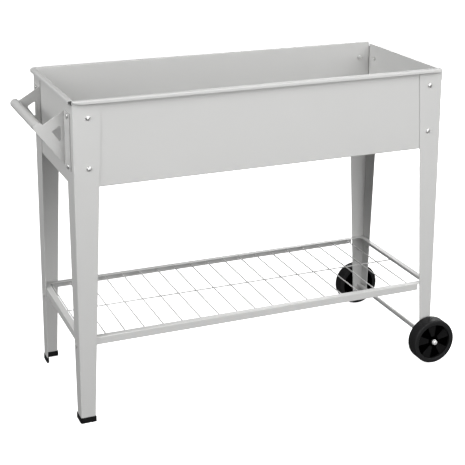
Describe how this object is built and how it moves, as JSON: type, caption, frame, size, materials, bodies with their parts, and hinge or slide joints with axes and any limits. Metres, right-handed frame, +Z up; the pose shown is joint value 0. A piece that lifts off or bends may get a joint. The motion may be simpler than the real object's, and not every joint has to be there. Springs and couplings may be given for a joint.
{
  "type": "raised planter",
  "caption": "Raised rectangular planter box on tapered sheet-metal legs, with a wire shelf below, a pull handle at one end and wheels at the other.",
  "frame": {"origin": "on the ground, under the middle of the overall box", "axes": "+X along the planter towards the wheels, +Y towards the back, +Z up"},
  "size_m": [1.093, 0.4724, 0.8],
  "materials": {
    "painted_steel": "light grey powder coat, semi-gloss",
    "zinc_steel": "bright zinc-plated steel",
    "black_plastic": "black moulded plastic",
    "wheel_plastic": "black moulded plastic with a fine tread"
  },
  "bodies": {
    "planter": {"panel_front": "painted_steel", "panel_back": "painted_steel", "panel_left": "painted_steel", "panel_right": "painted_steel", "box_floor": "painted_steel", "leg_front_left": "painted_steel", "leg_front_right": "painted_steel", "leg_back_right": "painted_steel", "leg_back_left": "painted_steel", "handle_bracket_front": "painted_steel", "handle_bracket_back": "painted_steel", "handle_tube": "painted_steel", "shelf_rail_front": "painted_steel", "shelf_rail_back": "painted_steel", "shelf_rail_left": "painted_steel", "shelf_rail_right": "painted_steel", "shelf_wire_mat": "painted_steel", "shelf_bolt_front_left": "painted_steel", "shelf_bolt_front_right": "painted_steel", "shelf_bolt_back_right": "painted_steel", "shelf_bolt_back_left": "painted_steel", "axle": "zinc_steel", "axle_cap_front": "zinc_steel", "axle_cap_back": "zinc_steel", "bolt_front_left_side_upper": "zinc_steel", "bolt_front_left_side_lower": "zinc_steel", "bolt_front_left_end_upper": "zinc_steel", "bolt_front_left_end_lower": "zinc_steel", "bolt_front_right_side_upper": "zinc_steel", "bolt_front_right_side_lower": "zinc_steel", "bolt_front_right_end_upper": "zinc_steel", "bolt_front_right_end_lower": "zinc_steel", "bolt_back_right_side_upper": "zinc_steel", "bolt_back_right_side_lower": "zinc_steel", "bolt_back_right_end_upper": "zinc_steel", "bolt_back_right_end_lower": "zinc_steel", "bolt_back_left_side_upper": "zinc_steel", "bolt_back_left_side_lower": "zinc_steel", "bolt_back_left_end_upper": "zinc_steel", "bolt_back_left_end_lower": "zinc_steel", "nut_front_left_side_upper": "zinc_steel", "nut_front_left_side_lower": "zinc_steel", "nut_front_left_end_upper": "zinc_steel", "nut_front_left_end_lower": "zinc_steel", "nut_front_right_side_upper": "zinc_steel", "nut_front_right_side_lower": "zinc_steel", "nut_front_right_end_upper": "zinc_steel", "nut_front_right_end_lower": "zinc_steel", "nut_back_right_side_upper": "zinc_steel", "nut_back_right_side_lower": "zinc_steel", "nut_back_right_end_upper": "zinc_steel", "nut_back_right_end_lower": "zinc_steel", "nut_back_left_side_upper": "zinc_steel", "nut_back_left_side_lower": "zinc_steel", "nut_back_left_end_upper": "zinc_steel", "nut_back_left_end_lower": "zinc_steel", "foot_front_left": "black_plastic", "foot_back_left": "black_plastic"},
    "wheel_front_body": {"wheel_front": "wheel_plastic"},
    "wheel_back_body": {"wheel_back": "wheel_plastic"}
  },
  "joints": [
    {"name": "wheel_front_spin", "type": "hinge", "parent": "planter", "child": "wheel_front_body", "pos_m": [0.4865, -0.2115, 0.06], "axis": [0, 1, 0], "continuous": true},
    {"name": "wheel_back_spin", "type": "hinge", "parent": "planter", "child": "wheel_back_body", "pos_m": [0.4865, 0.2115, 0.06], "axis": [0, 1, 0], "continuous": true}
  ]
}
